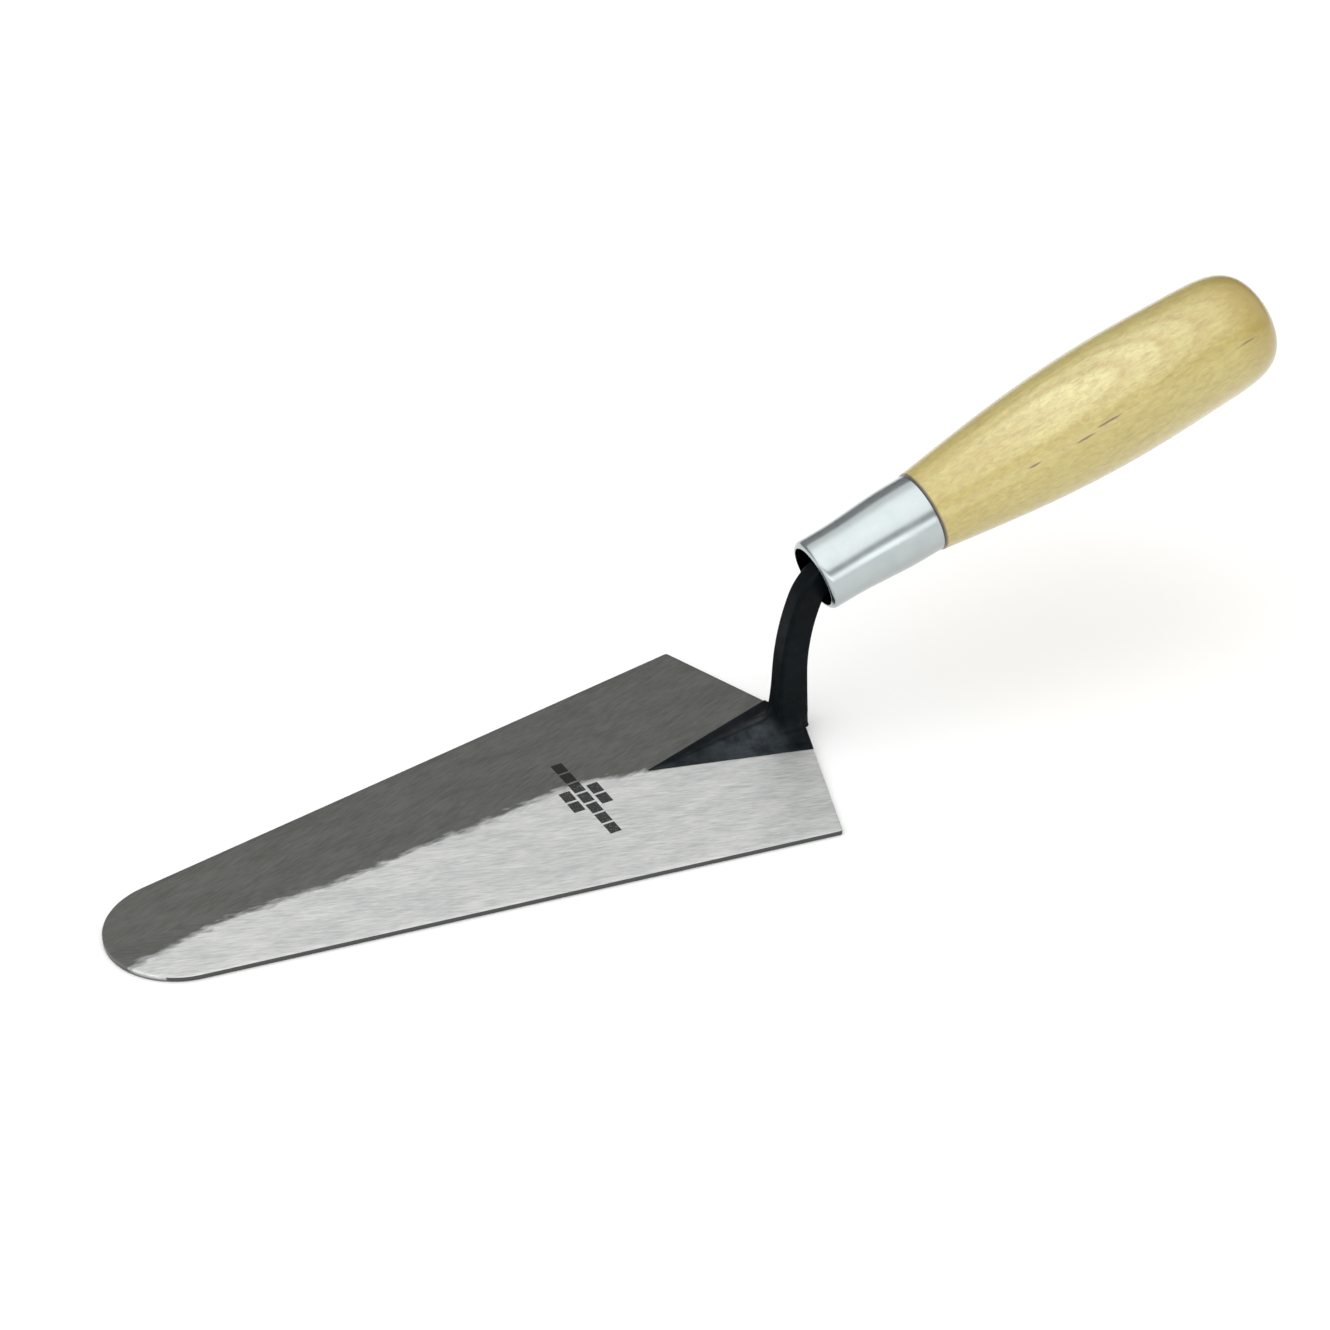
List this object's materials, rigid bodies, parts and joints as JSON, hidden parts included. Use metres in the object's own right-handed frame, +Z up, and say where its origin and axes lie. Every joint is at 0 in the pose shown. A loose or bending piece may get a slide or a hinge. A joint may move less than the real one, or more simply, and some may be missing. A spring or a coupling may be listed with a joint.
{
  "type": "gauging trowel",
  "caption": "Masonry hand trowel with a round-nosed flat steel blade, a black cranked tang, a bright metal ferrule and a turned wooden handle.",
  "frame": {"origin": "on the blade's flat underside, straight below the middle of the neck", "axes": "+X runs along the tool from the blade to the butt of the handle, +Y is to the side, +Z is up out of the blade's upper face; XZ is the plane of symmetry"},
  "size_m": [0.3073, 0.0856, 0.0886],
  "materials": {
    "blade_steel": "ground lengthwise to a fine satin, lightly oiled",
    "black_finish": "satin black over the forging",
    "zinc_plate": "bright zinc plate on drawn steel",
    "lacquered_wood": "pale hardwood under clear gloss lacquer"
  },
  "bodies": {
    "root": {"blade": "blade_steel", "tang": "black_finish", "ferrule": "zinc_plate", "handle": "lacquered_wood"}
  },
  "joints": []
}
